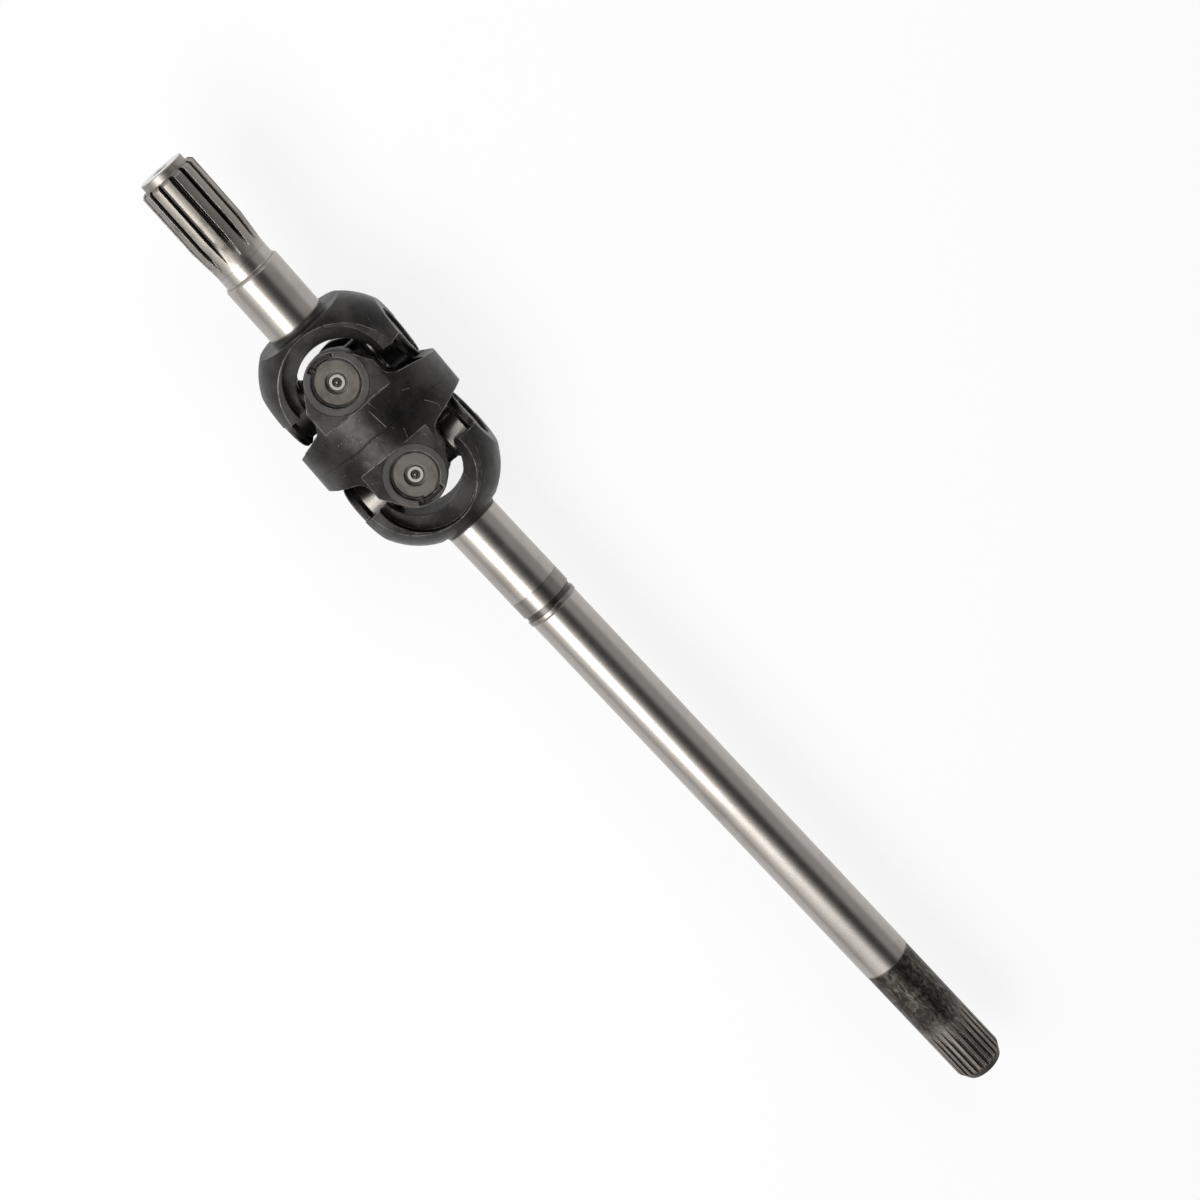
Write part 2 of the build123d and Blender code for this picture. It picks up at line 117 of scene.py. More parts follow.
# ---------------------------------------------------------------- shader tree helper
class Tree:
    """A short way to write a shader tree: each method adds a node and returns its output."""

    def __init__(self, nodes: bpy.types.NodeTree) -> None:
        """Keeps the tree.

        Args:
            nodes: The node tree that is written to.
        """
        self.tree = nodes

    def node(self, kind: str, **settings) -> bpy.types.Node:
        """Adds a node and sets its properties.

        Args:
            kind: Blender's name of the node type, without ShaderNode.
            settings: Properties of the node.

        Returns:
            The new node.
        """
        made = self.tree.nodes.new("ShaderNode" + kind)
        for key, value in settings.items():
            setattr(made, key, value)
        return made

    def put(self, socket: Socket, value: Value) -> None:
        """Links an output to a socket, or sets the socket's own value."""
        if isinstance(value, Socket):
            self.tree.links.new(value, socket)
        else:
            socket.default_value = value

    def math(self, operation: str, *values: Value) -> Socket:
        """Adds a Math node of one operation and returns its value."""
        made = self.node("Math", operation=operation)
        for socket, value in zip(made.inputs, values):
            self.put(socket, value)
        return made.outputs[0]

    def times(self, first: Value, second: Value) -> Socket:
        """The product of two values."""
        return self.math("MULTIPLY", first, second)

    def plus(self, first: Value, second: Value) -> Socket:
        """The sum of two values."""
        return self.math("ADD", first, second)

    def minus(self, first: Value, second: Value) -> Socket:
        """The first value less the second."""
        return self.math("SUBTRACT", first, second)

    def reach(self, first: Value, second: Value) -> Socket:
        """The distance whose parts along two axes are given."""
        return self.math("SQRT", self.plus(self.times(first, first), self.times(second, second)))

    def gap(self, value: Value, centre: Value) -> Socket:
        """How far a value is from a centre, on either side."""
        return self.math("ABSOLUTE", self.minus(value, centre))

    def span(self, value: Value, rise: tuple, fall: tuple) -> Socket:
        """1 between a rise and a fall, each given as two values, and 0 outside them."""
        return self.times(self.step(value, *rise), self.step(value, *fall))

    def mix(self, factor: Value, first: Value, second: Value) -> Socket:
        """Mixes two colours, given as outputs or as (r, g, b)."""
        made = self.node("Mix", data_type="RGBA")
        self.put(made.inputs[0], factor)
        for socket, value in ((made.inputs[6], first), (made.inputs[7], second)):
            self.put(socket, (*value, 1.0) if isinstance(value, tuple) else value)
        return made.outputs[2]

    def step(self, value: Value, low: float, high: float) -> Socket:
        """Rises smoothly from 0 at low to 1 at high, or falls where low is the larger."""
        made = self.node("MapRange", interpolation_type="SMOOTHSTEP")
        flip = low > high
        limits = (min(low, high), max(low, high), float(flip), float(not flip))
        for index, number in enumerate(limits, start=1):
            made.inputs[index].default_value = number
        self.put(made.inputs[0], value)
        return made.outputs[0]

    def noise(
        self, vector: Socket, scale: Value, detail: float = 4.0, rough: float = 0.5
    ) -> Socket:
        """Adds fractal noise at a scale in cycles per metre and returns its value."""
        made = self.node("TexNoise")
        self.put(made.inputs["Vector"], vector)
        self.put(made.inputs["Scale"], scale)
        self.put(made.inputs["Detail"], detail)
        self.put(made.inputs["Roughness"], rough)
        return made.outputs["Fac"]

    def stretch(self, vector: Socket, scale: tuple) -> Socket:
        """Scales a vector by its own factor on each axis."""
        made = self.node("VectorMath", operation="MULTIPLY")
        self.put(made.inputs[0], vector)
        self.put(made.inputs[1], scale)
        return made.outputs[0]

    def split(self, vector: Socket) -> tuple:
        """The x, y and z of a vector."""
        made = self.node("SeparateXYZ")
        self.put(made.inputs[0], vector)
        return tuple(made.outputs)

    def bump(
        self, height: Value, strength: float, distance: float, normal: Socket | None = None
    ) -> Socket:
        """Turns a height into a normal, on top of another normal where one is given."""
        made = self.node("Bump")
        self.put(made.inputs["Height"], height)
        self.put(made.inputs["Strength"], strength)
        self.put(made.inputs["Distance"], distance)
        if normal is not None:
            self.put(made.inputs["Normal"], normal)
        return made.outputs["Normal"]

    def local(self, place: Matrix) -> Socket:
        """Object coordinates in a local frame of the model."""
        where, turn, _ = place.inverted().decompose()
        made = self.node("Mapping", vector_type="POINT")
        made.inputs["Location"].default_value = where
        made.inputs["Rotation"].default_value = turn.to_euler("XYZ")
        self.put(made.inputs["Vector"], self.node("TexCoord").outputs["Object"])
        return made.outputs["Vector"]

    def group(self, shared: bpy.types.NodeTree, **values: Value) -> bpy.types.Node:
        """Places a shared group with its own values, named with underscores for spaces."""
        made = self.node("Group", node_tree=shared)
        for key, value in values.items():
            self.put(made.inputs[key.replace("_", " ")], value)
        return made


def new_group(name: str, inputs: dict, outputs: dict) -> tuple:
    """Starts a shader node group with named sockets.

    Args:
        name: The group's name.
        inputs: Socket name to (socket type, default).
        outputs: Socket name to socket type.

    Returns:
        The group, a Tree over it, its Group Input's outputs and its Group Output's inputs.
    """
    shared = bpy.data.node_groups.new(name, "ShaderNodeTree")
    for key, (kind, value) in inputs.items():
        socket = shared.interface.new_socket(name=key, in_out="INPUT", socket_type="NodeSocket" + kind)
        socket.default_value = value
    for key, kind in outputs.items():
        shared.interface.new_socket(name=key, in_out="OUTPUT", socket_type="NodeSocket" + kind)
    tree = Tree(shared)
    start = shared.nodes.new("NodeGroupInput").outputs
    end = shared.nodes.new("NodeGroupOutput").inputs
    return shared, tree, start, end


@dataclass
class SharedEffects:
    """Shader groups that several finishes use."""

    edge_wear_and_highlight: bpy.types.NodeTree = field(init=False)
    forge_grain: bpy.types.NodeTree = field(init=False)
    turned_lines: bpy.types.NodeTree = field(init=False)
    scratch: bpy.types.NodeTree = field(init=False)

    def __post_init__(self) -> None:
        """Builds each group once."""
        self.edge_wear_and_highlight = self.make_edge_wear_and_highlight()
        self.forge_grain = self.make_forge_grain()
        self.turned_lines = self.make_turned_lines()
        self.scratch = self.make_scratch()

    def make_edge_wear_and_highlight(self) -> bpy.types.NodeTree:
        """Rounds sharp edges and marks them where the angle between true and rounded normal grows; the mask
        lightens edges as rubbed metal and as painted highlight.
        """
        shared, tree, start, end = new_group(
            "edge wear",
            {"Radius": ("Float", 0.0008), "Breakup": ("Float", 0.5)},
            {"Mask": "Float", "Normal": "Vector"},
        )
        bevel = tree.node("Bevel", samples=6)
        tree.put(bevel.inputs["Radius"], start["Radius"])
        facing = tree.node("VectorMath", operation="DOT_PRODUCT")
        tree.put(facing.inputs[0], bevel.outputs[0])
        tree.put(facing.inputs[1], tree.node("NewGeometry").outputs["Normal"])
        sharp = tree.step(facing.outputs["Value"], 0.985, 0.86)
        rub = tree.noise(tree.node("TexCoord").outputs["Object"], 130.0, 5.0, 0.65)
        rub = tree.plus(tree.step(rub, 0.42, 0.62), tree.minus(1.0, start["Breakup"]))
        tree.put(end["Mask"], tree.times(sharp, tree.math("MINIMUM", rub, 1.0)))
        tree.put(end["Normal"], bevel.outputs[0])
        return shared

    def make_forge_grain(self) -> bpy.types.NodeTree:
        """Fine scale grain over broad waves, as height, and its patches as tone."""
        shared, tree, start, end = new_group(
            "forge grain",
            {"Grain": ("Float", 1500.0)},
            {"Height": "Float", "Tone": "Float", "Specks": "Float"},
        )
        place = tree.node("TexCoord").outputs["Object"]
        fine = tree.noise(place, start["Grain"], 3.0, 0.7)
        waves = tree.noise(place, 75.0, 4.0, 0.55)
        pits = tree.step(tree.noise(place, 520.0, 2.0, 0.5), 0.66, 0.76)
        height = tree.plus(tree.times(fine, 0.35), tree.times(waves, 0.9))
        tree.put(end["Height"], tree.minus(height, tree.times(pits, 0.35)))
        tree.put(end["Tone"], tree.step(tree.noise(place, 38.0, 6.0, 0.6), 0.35, 0.68))
        tree.put(end["Specks"], tree.step(tree.noise(place, 900.0, 1.0, 0.4), 0.71, 0.78))
        return shared

    def make_turned_lines(self) -> bpy.types.NodeTree:
        """Lathe or grinder lines round a local X axis: noise that is long round it and short along it."""
        shared, tree, start, end = new_group(
            "turned lines",
            {"Vector": ("Vector", (0.0, 0.0, 0.0)), "Pitch": ("Float", 6000.0)},
            {"Height": "Float", "Tone": "Float"},
        )
        x, y, z = tree.split(start["Vector"])
        turn = tree.times(tree.math("ARCTAN2", y, z), 0.012)
        packed = tree.node("CombineXYZ")
        tree.put(packed.inputs[0], x)
        tree.put(packed.inputs[1], turn)
        stretched = tree.stretch(packed.outputs[0], (1.0, 0.35, 1.0))
        tree.put(end["Height"], tree.noise(stretched, start["Pitch"], 2.0, 0.6))
        tree.put(end["Tone"], tree.noise(stretched, 160.0, 5.0, 0.7))
        return shared

    def make_scratch(self) -> bpy.types.NodeTree:
        """One scratch: near 1 where the distance from a straight segment is under its width."""
        shared, tree, start, end = new_group(
            "scratch",
            {
                "Vector": ("Vector", (0.0, 0.0, 0.0)),
                "From": ("Vector", (0.0, 0.0, 0.0)),
                "To": ("Vector", (0.0, 0.0, 0.0)),
                "Width": ("Float", 0.0004),
            },
            {"Mask": "Float"},
        )

        def vector(operation: str, first, second) -> bpy.types.Node:
            """Adds a Vector Math node of two inputs."""
            made = tree.node("VectorMath", operation=operation)
            tree.put(made.inputs[0], first)
            tree.put(made.inputs[1], second)
            return made

        run = vector("SUBTRACT", start["To"], start["From"]).outputs[0]
        reach = vector("SUBTRACT", start["Vector"], start["From"]).outputs[0]
        covered = vector("DOT_PRODUCT", reach, run).outputs["Value"]
        whole = vector("DOT_PRODUCT", run, run).outputs["Value"]
        share = tree.math("DIVIDE", covered, whole)
        share = tree.math("MINIMUM", tree.math("MAXIMUM", share, 0.0), 1.0)
        scaled = tree.node("VectorMath", operation="SCALE")
        tree.put(scaled.inputs[0], run)
        tree.put(scaled.inputs["Scale"], share)
        gap = vector("SUBTRACT", reach, scaled.outputs[0]).outputs[0]
        length = tree.node("VectorMath", operation="LENGTH")
        tree.put(length.inputs[0], gap)
        wander = tree.times(tree.noise(start["Vector"], 420.0, 3.0, 0.6), start["Width"])
        distance = tree.plus(length.outputs["Value"], wander)
        near = tree.math("DIVIDE", distance, start["Width"])
        tree.put(end["Mask"], tree.step(near, 1.5, 0.7))
        return shared


def new_material(name: str) -> tuple:
    """Starts a material.

    Args:
        name: The material's name.

    Returns:
        The material, a Tree over it and its Principled shader.
    """
    material = bpy.data.materials.new(name)
    material.use_nodes = True
    shader = material.node_tree.nodes["Principled BSDF"]
    return material, Tree(material.node_tree), shader


def dress(node: str, material: bpy.types.Material) -> None:
    """Puts one material in every slot of a CAD node."""
    shown = frame["nodes"][node]
    if not shown.material_slots:
        shown.data.materials.append(material)
    for slot in shown.material_slots:
        slot.material = material
    log.info("dressed %s in %s", node, material.name)


# ---------------------------------------------------------------- finishes
@dataclass(frozen=True)
class ForgedSteel:
    """Hot-forged steel, blackened, with fine grain, lighter patches and edges lightened partly as rubbed metal
    and partly as painted highlight.
    """

    name: str
    dark: tuple = (0.011, 0.0105, 0.010)
    light: tuple = (0.044, 0.042, 0.040)
    worn_and_highlight: tuple = (0.44, 0.42, 0.40)
    roughness: float = 0.44
    grain_depth: float = 0.00045
    edge: float = 0.0012

    def surface(self, tree: Tree, effects: SharedEffects) -> tuple:
        """Adds the forged surface to a tree.

        Args:
            tree: The material's tree.
            effects: The shared groups.

        Returns:
            Colour, roughness, metallic and normal outputs.
        """
        grain = tree.group(effects.forge_grain)
        wear_and_highlight = tree.group(effects.edge_wear_and_highlight, Radius=self.edge, Breakup=0.75)
        colour = tree.mix(grain.outputs["Tone"], self.dark, self.light)
        colour = tree.mix(tree.times(grain.outputs["Specks"], 0.45), colour, (0.20, 0.195, 0.19))
        # edges lightened partly as rubbed metal and partly as painted highlight
        colour = tree.mix(tree.times(wear_and_highlight.outputs["Mask"], 0.85), colour, self.worn_and_highlight)
        roughness = tree.plus(tree.times(grain.outputs["Tone"], -0.10), self.roughness)
        normal = tree.bump(grain.outputs["Height"], 0.55, self.grain_depth, wear_and_highlight.outputs["Normal"])
        metallic = tree.plus(tree.times(wear_and_highlight.outputs["Mask"], 0.12), 0.86)
        return colour, roughness, metallic, normal


@dataclass(frozen=True)
class GroundSteel:
    """Bright steel, turned and ground, warm grey with fine lines round its axis."""

    colour: tuple = (0.42, 0.395, 0.37)
    stain: tuple = (0.27, 0.245, 0.22)
    roughness: float = 0.26
    line_depth: float = 0.000012

    def surface(self, tree: Tree, effects: SharedEffects, place: Socket) -> tuple:
        """Adds the ground surface to a tree.

        Args:
            tree: The material's tree.
            effects: The shared groups.
            place: The surface's place in the shaft's frame.

        Returns:
            Colour, roughness and height outputs.
        """
        lines = tree.group(effects.turned_lines, Vector=place, Pitch=5200.0)
        blotch = tree.noise(tree.node("TexCoord").outputs["Object"], 26.0, 6.0, 0.6)
        colour = tree.mix(tree.times(tree.step(blotch, 0.45, 0.75), 0.5), self.colour, self.stain)
        colour = tree.mix(tree.times(lines.outputs["Tone"], 0.25), colour, self.stain)
        roughness = tree.plus(tree.times(lines.outputs["Tone"], 0.12), self.roughness - 0.05)
        return colour, roughness, lines.outputs["Height"]


@dataclass
class CentreYoke:
    """The forged ring between the two crosses; its cups, snap rings and nipples are dressed with the cross
    kits.
    """

    effects: SharedEffects
    steel: ForgedSteel = ForgedSteel("forged centre yoke")
    spot_height: float = 45.8 * MM
    spot_radius: float = 19.4 * MM
    parting_line: float = 3.0 * MM

    def dress_yoke(self) -> None:
        """Gives the ring its forged steel, parting line, scars and machined spot faces, with a painted shade
        line round each face.
        """
        material, tree, shader = new_material(self.steel.name)
        colour, roughness, metallic, normal = self.steel.surface(tree, self.effects)
        place = tree.node("TexCoord").outputs["Object"]
        x, y, z = tree.split(place)
        wander = tree.times(tree.minus(tree.noise(place, 45.0, 3.0, 0.6), 0.5), 0.006)
        off = tree.gap(tree.plus(x, wander), self.parting_line)
        radius = tree.reach(y, z)
        on_band = tree.step(radius, 0.0515, 0.0522)
        parting = tree.times(tree.step(off, 0.0006, 0.0002), on_band)
        scars = self.scar_mask(tree, place)
        spot, face = self.spot_masks(tree, z, x, y)
        colour = tree.mix(tree.times(face, 0.5), colour, (0.075, 0.071, 0.067))
        # painted shade: a near black line round each machined face, at the base of its step
        colour = tree.mix(tree.times(spot, 0.7), colour, (0.005, 0.005, 0.005))
        colour = tree.mix(tree.times(parting, 0.45), colour, (0.006, 0.006, 0.006))
        colour = tree.mix(tree.times(scars, 0.55), colour, (0.30, 0.29, 0.28))
        marks = tree.plus(parting, scars)
        tree.put(shader.inputs["Base Color"], colour)
        tree.put(shader.inputs["Roughness"], roughness)
        tree.put(shader.inputs["Metallic"], metallic)
        tree.put(shader.inputs["Normal"], tree.bump(tree.minus(1.0, marks), 0.8, 0.0004, normal))
        dress("centre_yoke", material)

    def spot_masks(self, tree: Tree, z: Socket, x: Socket, y: Socket) -> tuple:
        """Marks the machined faces round the upright bores, and a painted shade line round each.

        Args:
            tree: The material's tree.
            z: Height in the model's frame.
            x: Place along the model's X axis.
            y: Place along the model's Y axis.

        Returns:
            A thin painted shade line round each face, where its step meets it, and the face within it.
        """
        spacing = abs(joint("long_swing")["pos_m"][0])
        along = tree.minus(tree.math("ABSOLUTE", x), spacing)
        radius = tree.reach(along, y)
        high = tree.step(tree.math("ABSOLUTE", z), self.spot_height - 0.0012, self.spot_height - 0.0006)
        off = tree.gap(radius, self.spot_radius)
        # painted shade: a narrow ring at the rim of each face
        edge = tree.times(tree.step(off, 0.00045, 0.00012), high)
        face = tree.times(tree.step(radius, self.spot_radius + 0.0001, self.spot_radius - 0.0002), high)
        return edge, face

    def scar_mask(self, tree: Tree, place: Socket) -> Socket:
        """Marks the handling scars across the top of the ring.

        Args:
            tree: The material's tree.
            place: Object coordinates.

        Returns:
            One mask for all the scars.
        """
        scars = (
            ((-18.0, 3.5, 52.0), (-10.0, 5.0, 52.0), 0.35),
            ((-10.0, 5.0, 52.0), (2.0, 6.5, 52.0), 0.45),
            ((-16.0, 7.5, 52.0), (-9.0, 9.0, 51.5), 0.25),
            ((5.0, 33.0, 41.0), (12.0, 37.5, 37.0), 0.40),
            ((12.0, 37.5, 37.0), (19.0, 36.0, 38.5), 0.35),
            ((-8.0, 27.0, 45.0), (-6.0, 31.0, 42.5), 0.30),
            ((-6.0, -12.0, 51.0), (-2.0, -16.0, 50.0), 0.25),
            ((6.0, -22.0, 47.5), (1.0, -30.0, 43.0), 0.25),
            ((9.0, 14.0, 50.5), (15.0, 12.0, 51.0), 0.22),
        )
        total = None
        for start, end, width in scars:
            mark = tree.group(self.effects.scratch, Vector=place, Width=width * MM)
            mark.inputs["From"].default_value = Vector(start) * MM
            mark.inputs["To"].default_value = Vector(end) * MM
            mask = mark.outputs["Mask"]
            total = mask if total is None else tree.math("MAXIMUM", total, mask)
        return total


@dataclass
class Shafts:
    """The two splined shafts, each with the fork that is forged on its end."""

    effects: SharedEffects
    forged: ForgedSteel = ForgedSteel("forged fork")
    ground: GroundSteel = GroundSteel()
    # distances along each shaft from its cross, as the start and end of a change of finish
    short_fork: tuple = mm(44.5, 42.5)
    short_teeth: tuple = mm(88, 100)
    short_run_out: tuple = mm(98, 112)
    short_teeth_end: tuple = mm(155.2, 154.6)
    short_end_face: tuple = mm(159.5, 159.9)
    long_fork: tuple = mm(49.0, 47.5)
    collar: tuple = (mm(103, 104.5), mm(123.6, 122.8))
    ring_groove_shade: tuple = (mm(115.0, 115.5), mm(119.8, 119.4))
    black_end: tuple = mm(443.5, 445.5)
    rubbed: tuple = (mm(492, 508), mm(530, 514))
    long_teeth: tuple = mm(508, 516)
    # lines round a shaft: where, and how wide
    seat_line: tuple = mm(83, 0.5)
    neck_line: tuple = mm(91, 0.25)
    collar_line: tuple = mm(104, 0.3)
    # radii between which a tooth space is painted dark as shade
    short_space_shade: tuple = mm(18.6, 16.4)
    long_space_shade: tuple = mm(17.0, 16.0)
    # the turned boss inside an ear: its radius, its face and its open side
    boss_radius: tuple = mm(17.9, 17.6)
    boss_face: tuple = mm(38.6, 38.3)
    boss_side: tuple = mm(6, 2)

    def line(self, tree: Tree, x: Socket, at: float, width: float) -> Socket:
        """A narrow line round the shaft at a distance along it."""
        return tree.step(tree.gap(x, at), width, width * 0.3)

    def dress_short(self) -> None:
        """Dark fork, ground seat, and a neck and spline that are darker, with painted shade in the tooth
        spaces.
        """
        material, tree, shader = new_material("short shaft steel")
        place = tree.local(shaft_axes(Side.SHORT))
        x, y, z = tree.split(place)
        radius = tree.reach(y, z)
        dark = self.forged.surface(tree, self.effects)
        colour, roughness, height = self.ground.surface(tree, self.effects, place)
        on_teeth = tree.step(x, *self.short_teeth)
        patches = tree.noise(tree.stretch(place, (0.35, 1.0, 1.0)), 230.0, 5.0, 0.6)
        colour = tree.mix(tree.times(on_teeth, 0.55), colour, (0.20, 0.18, 0.155))
        colour = tree.mix(tree.times(on_teeth, tree.step(patches, 0.5, 0.72)), colour, (0.13, 0.115, 0.10))
        # painted shade: the tooth spaces of the spline are darkened to near black
        groove_shade = tree.times(tree.step(radius, *self.short_space_shade), tree.step(x, *self.short_run_out))
        groove_shade = tree.times(groove_shade, tree.step(x, *self.short_teeth_end))
        colour = tree.mix(tree.times(groove_shade, 0.9), colour, (0.018, 0.015, 0.012))
        end_face = tree.step(x, *self.short_end_face)
        colour = tree.mix(end_face, colour, (0.75, 0.75, 0.75))
        roughness = tree.plus(roughness, tree.times(on_teeth, 0.12))
        lines = tree.plus(self.line(tree, x, *self.seat_line), self.line(tree, x, *self.neck_line))
        colour = tree.mix(tree.times(lines, 0.5), colour, (0.07, 0.06, 0.05))
        wear_and_highlight = tree.group(self.effects.edge_wear_and_highlight, Radius=0.0005, Breakup=0.5)
        # edges lightened partly as rubbed metal and partly as painted highlight
        bright = tree.times(wear_and_highlight.outputs["Mask"], 0.5)
        colour = tree.mix(bright, colour, (0.62, 0.60, 0.57))
        normal = tree.bump(height, 0.35, self.ground.line_depth, wear_and_highlight.outputs["Normal"])
        on_fork = tree.step(x, *self.short_fork)
        self.blend(tree, shader, on_fork, (colour, roughness, 1.0, normal), dark)
        dress("short_shaft_yoke", material)

    def blend(self, tree: Tree, shader: Shader, mask: Socket, bright: tuple, dark: tuple) -> None:
        """Mixes the ground and the forged surface by a mask and feeds the shader.

        Args:
            tree: The material's tree.
            shader: Its Principled shader.
            mask: 1 where the surface is forged.
            bright: Colour, roughness, metallic and normal of the ground surface.
            dark: The same of the forged surface.
        """
        colour = tree.mix(mask, bright[0], dark[0])
        values = []
        for index in (1, 2):
            made = tree.node("Mix", data_type="FLOAT")
            tree.put(made.inputs[0], mask)
            tree.put(made.inputs[2], bright[index])
            tree.put(made.inputs[3], dark[index])
            values.append(made.outputs[0])
        normal = tree.node("Mix", data_type="VECTOR")
        tree.put(normal.inputs[0], mask)
        tree.put(normal.inputs[4], bright[3])
        tree.put(normal.inputs[5], dark[3])
        tree.put(shader.inputs["Base Color"], colour)
        tree.put(shader.inputs["Roughness"], values[0])
        tree.put(shader.inputs["Metallic"], values[1])
        tree.put(shader.inputs["Normal"], normal.outputs[1])

    def dress_long(self) -> None:
        """Dark fork with turned bosses, ground journal and bar, and a mottled dark end."""
        material, tree, shader = new_material("long shaft steel")
        place = tree.local(shaft_axes(Side.LONG))
        x, y, z = tree.split(place)
        radius = tree.reach(y, z)
        dark = self.forged.surface(tree, self.effects)
        colour, roughness, height = self.ground.surface(tree, self.effects, place)
        collar = tree.span(x, *self.collar)
        colour = tree.mix(tree.times(collar, 0.55), colour, (0.12, 0.108, 0.095))
        # painted shade: the snap ring groove is darkened to near black
        groove_shade = tree.span(x, *self.ring_groove_shade)
        colour = tree.mix(tree.times(groove_shade, 0.7), colour, (0.02, 0.018, 0.016))
        edge = tree.times(self.line(tree, x, *self.collar_line), 0.5)
        colour = tree.mix(edge, colour, (0.05, 0.045, 0.04))
        black = tree.step(x, *self.black_end)
        mottle = self.mottle(tree, place)
        end_colour = tree.mix(mottle, (0.030, 0.027, 0.024), (0.17, 0.155, 0.135))
        rubbed = tree.span(x, *self.rubbed)
        end_colour = tree.mix(tree.times(rubbed, 0.45), end_colour, (0.36, 0.33, 0.30))
        on_teeth = tree.step(x, *self.long_teeth)
        end_colour = tree.mix(tree.times(on_teeth, 0.5), end_colour, (0.30, 0.275, 0.245))
        # painted shade: the tooth spaces of the end spline are darkened
        low = tree.times(tree.step(radius, *self.long_space_shade), on_teeth)
        end_colour = tree.mix(tree.times(low, 0.85), end_colour, (0.022, 0.019, 0.016))
        colour = tree.mix(black, colour, end_colour)
        roughness = tree.plus(roughness, tree.times(black, 0.16))
        wear_and_highlight = tree.group(self.effects.edge_wear_and_highlight, Radius=0.0005, Breakup=0.5)
        # edges lightened partly as rubbed metal and partly as painted highlight
        colour = tree.mix(tree.times(wear_and_highlight.outputs["Mask"], 0.45), colour, (0.60, 0.57, 0.53))
        normal = tree.bump(height, 0.35, self.ground.line_depth, wear_and_highlight.outputs["Normal"])
        boss = self.boss_mask(tree, place)
        on_fork = tree.minus(tree.step(x, *self.long_fork), boss)
        self.blend(tree, shader, tree.math("MAXIMUM", on_fork, 0.0), (colour, roughness, 1.0, normal), dark)
        dress("long_shaft_yoke", material)

    def boss_mask(self, tree: Tree, place: Socket) -> Socket:
        """Marks the turned bosses inside the ears: a band of radius round the level journals."""
        x, y, z = tree.split(place)
        within = tree.step(tree.reach(x, z), *self.boss_radius)
        turned = tree.times(within, tree.step(tree.math("ABSOLUTE", y), *self.boss_face))
        return tree.times(turned, tree.step(x, *self.boss_side))

    def mottle(self, tree: Tree, place: Socket) -> Socket:
        """Wavy marks and blotches of the dark end: noise bent by slower noise."""
        slow = tree.noise(tree.stretch(place, (0.6, 1.4, 1.4)), 70.0, 3.0, 0.5)
        bent = tree.node("VectorMath", operation="ADD")
        tree.put(bent.inputs[0], tree.stretch(place, (0.9, 2.2, 2.2)))
        lift = tree.node("CombineXYZ")
        tree.put(lift.inputs[1], tree.times(slow, 0.05))
        tree.put(bent.inputs[1], lift.outputs[0])
        marks = tree.noise(bent.outputs[0], 210.0, 4.0, 0.6)
        blotch = tree.noise(place, 48.0, 4.0, 0.6)
        return tree.times(tree.step(marks, 0.40, 0.68), tree.step(blotch, 0.25, 0.7))


@dataclass(frozen=True)
class MachinedTone:
    """Tones of a faced and turned steel."""

    colour: tuple
    tint: tuple
    roughness: float
    boss: float = 0.0  # share by which the middle of the face is brighter


CAP_FACE = MachinedTone((0.105, 0.096, 0.086), (0.062, 0.056, 0.050), 0.42, 0.85)
FORK_CAP = MachinedTone((0.48, 0.455, 0.42), (0.34, 0.31, 0.28), 0.28)
ROLLER = MachinedTone((0.6, 0.6, 0.6), (0.5, 0.5, 0.5), 0.2)
CROSS = {
    Side.LONG: MachinedTone((0.30, 0.28, 0.26), (0.08, 0.073, 0.066), 0.42),
    # painted shade: the short side's cross is darker than the long side's, as shade inside its joint; both are
    # the same steel
    Side.SHORT: MachinedTone((0.09, 0.083, 0.076), (0.08, 0.073, 0.066), 0.42),
}


